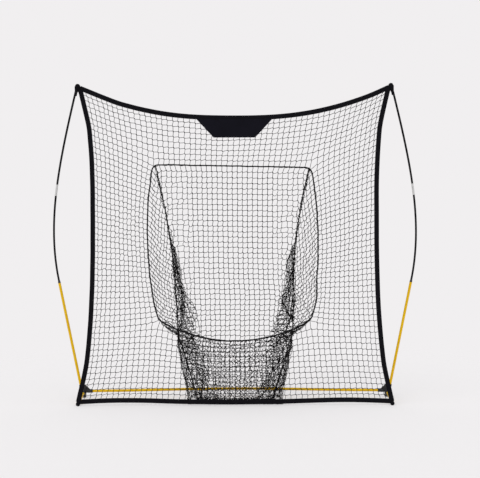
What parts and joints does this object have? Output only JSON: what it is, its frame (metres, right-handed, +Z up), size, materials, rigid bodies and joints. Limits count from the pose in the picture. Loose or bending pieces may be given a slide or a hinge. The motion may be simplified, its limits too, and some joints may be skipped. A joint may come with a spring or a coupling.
{
  "type": "pitching target net",
  "caption": "Free-standing square target net with a ball-catching pocket, strung between folding steel legs and tall bent side rods.",
  "frame": {"origin": "on the ground, in the middle of the object's outer box", "axes": "+X to the thrower's right, +Y away from the thrower, +Z up"},
  "size_m": [2.613, 0.3735, 2.1879],
  "materials": {
    "yellow_steel": "smooth golden yellow powder coat on thin steel tube",
    "zinc": "dull zinc plate",
    "black_plastic": "black moulded nylon with a fine grain",
    "black_fibreglass": "black pultruded fibreglass with a satin shine",
    "light_ferrule": "pale satin metal sleeve",
    "black_webbing": "black woven webbing",
    "black_netting": "black knotted twine",
    "header_fabric": "plain black woven cloth, bare of any print",
    "mouth_rope": "black braided cord"
  },
  "bodies": {
    "frame": {"border_bottom": "black_webbing", "border_left": "black_webbing", "border_right": "black_webbing", "border_top": "black_webbing", "corner_sleeve_left": "black_webbing", "corner_sleeve_right": "black_webbing", "crossbar_joiner": "zinc", "crossbar_left": "yellow_steel", "crossbar_right": "yellow_steel", "ferrule_left": "light_ferrule", "ferrule_right": "light_ferrule", "header_panel": "header_fabric", "hub_left": "black_plastic", "hub_right": "black_plastic", "joiner_rivet": "zinc", "mouth_rope": "mouth_rope", "net_left": "black_netting", "net_lower": "black_netting", "net_right": "black_netting", "net_upper": "black_netting", "pivot_bolt_left": "zinc", "pivot_bolt_right": "zinc", "pivot_nut_left": "zinc", "pivot_nut_right": "zinc", "pocket": "black_netting", "reducer_left": "black_plastic", "reducer_right": "black_plastic", "rod_lower_left": "black_fibreglass", "rod_lower_right": "black_fibreglass", "rod_tip_left": "black_plastic", "rod_tip_right": "black_plastic", "rod_upper_left": "black_fibreglass", "rod_upper_right": "black_fibreglass", "seam_cord_left": "mouth_rope", "seam_cord_right": "mouth_rope", "socket_rivet_left": "zinc", "socket_rivet_right": "zinc", "tip_pouch_left": "black_webbing", "tip_pouch_right": "black_webbing", "upright_left": "yellow_steel", "upright_right": "yellow_steel"},
    "leg_left": {"leg_left": "yellow_steel", "leg_knuckle_left": "black_plastic", "leg_cap_left": "black_plastic"},
    "leg_right": {"leg_right": "yellow_steel", "leg_knuckle_right": "black_plastic", "leg_cap_right": "black_plastic"},
    "button_crossbar": {"crossbar_button": "zinc"},
    "button_left": {"upright_button_left": "zinc"},
    "button_right": {"upright_button_right": "zinc"}
  },
  "joints": [
    {"name": "leg_left_fold", "type": "hinge", "parent": "frame", "child": "leg_left", "pos_m": [-1.086, 0.1133, 0.034], "axis": [0, 0, 1], "range_deg": [0, 85]},
    {"name": "leg_right_fold", "type": "hinge", "parent": "frame", "child": "leg_right", "pos_m": [1.086, 0.1133, 0.034], "axis": [0, 0, 1], "range_deg": [-85, 0]},
    {"name": "crossbar_button_press", "type": "slide", "parent": "frame", "child": "button_crossbar", "axis": [0, 1, 0], "range_m": [-0.0036, 0], "stiffness_N_per_m": 900, "springref_m": 0.002},
    {"name": "upright_button_left_press", "type": "slide", "parent": "frame", "child": "button_left", "axis": [0.0093, 0.999, -0.0429], "range_m": [-0.0055, 0], "stiffness_N_per_m": 900, "springref_m": 0.002},
    {"name": "upright_button_right_press", "type": "slide", "parent": "frame", "child": "button_right", "axis": [-0.0093, 0.999, -0.0429], "range_m": [-0.0055, 0], "stiffness_N_per_m": 900, "springref_m": 0.002}
  ]
}
